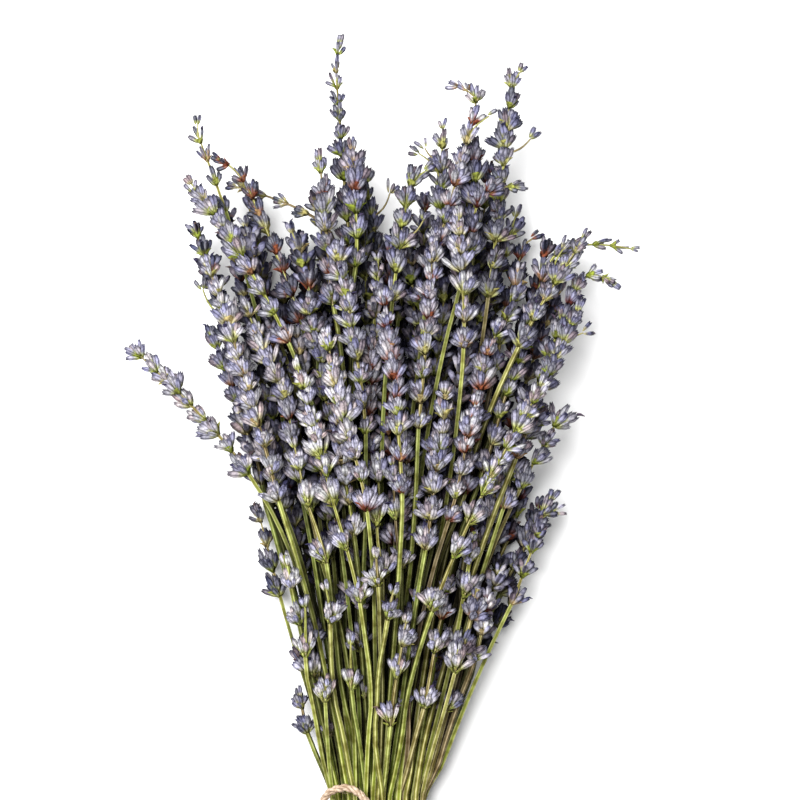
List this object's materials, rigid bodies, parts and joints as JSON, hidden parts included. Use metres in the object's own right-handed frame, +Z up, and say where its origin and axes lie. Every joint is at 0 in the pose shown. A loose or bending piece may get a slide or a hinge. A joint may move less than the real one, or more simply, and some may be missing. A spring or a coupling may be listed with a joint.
{
  "type": "bunch of dried lavender",
  "caption": "Bunch of dried lavender lying on its side: grey-lilac flower spikes fan out from straight olive-green stems, held by jute twine wound round them and tied in a bow",
  "frame": {"origin": "on the surface that the bunch lies on, under the middle of the twine tie", "axes": "+Y runs along the stems from the cut ends to the flower tips, +Z is up from the surface, +X is to the right when the bunch is seen from above with the tips away"},
  "size_m": [0.1812, 0.3866, 0.0603],
  "materials": {
    "dried_flower": "matte, faintly downy",
    "dried_stem": "matte, dry",
    "jute_twine": "matte, fibrous"
  },
  "bodies": {
    "root": {"head_01": "dried_flower", "head_02": "dried_flower", "head_03": "dried_flower", "head_04": "dried_flower", "head_05": "dried_flower", "head_06": "dried_flower", "head_07": "dried_flower", "head_08": "dried_flower", "head_09": "dried_flower", "head_10": "dried_flower", "head_11": "dried_flower", "head_12": "dried_flower", "head_13": "dried_flower", "head_14": "dried_flower", "head_15": "dried_flower", "head_16": "dried_flower", "head_17": "dried_flower", "head_18": "dried_flower", "head_19": "dried_flower", "head_20": "dried_flower", "head_21": "dried_flower", "head_22": "dried_flower", "head_23": "dried_flower", "head_24": "dried_flower", "head_25": "dried_flower", "head_26": "dried_flower", "head_27": "dried_flower", "head_28": "dried_flower", "head_29": "dried_flower", "head_30": "dried_flower", "head_31": "dried_flower", "head_32": "dried_flower", "head_33": "dried_flower", "head_34": "dried_flower", "head_35": "dried_flower", "head_36": "dried_flower", "head_37": "dried_flower", "head_38": "dried_flower", "head_39": "dried_flower", "head_40": "dried_flower", "head_41": "dried_flower", "head_42": "dried_flower", "head_43": "dried_flower", "head_44": "dried_flower", "head_45": "dried_flower", "head_46": "dried_flower", "head_47": "dried_flower", "head_48": "dried_flower", "head_49": "dried_flower", "head_50": "dried_flower", "head_51": "dried_flower", "head_52": "dried_flower", "head_53": "dried_flower", "stems_far_left": "dried_stem", "stems_left": "dried_stem", "stems_middle_left": "dried_stem", "stems_middle_right": "dried_stem", "stems_right": "dried_stem", "stems_far_right": "dried_stem", "twine_tie": "jute_twine"}
  },
  "joints": []
}
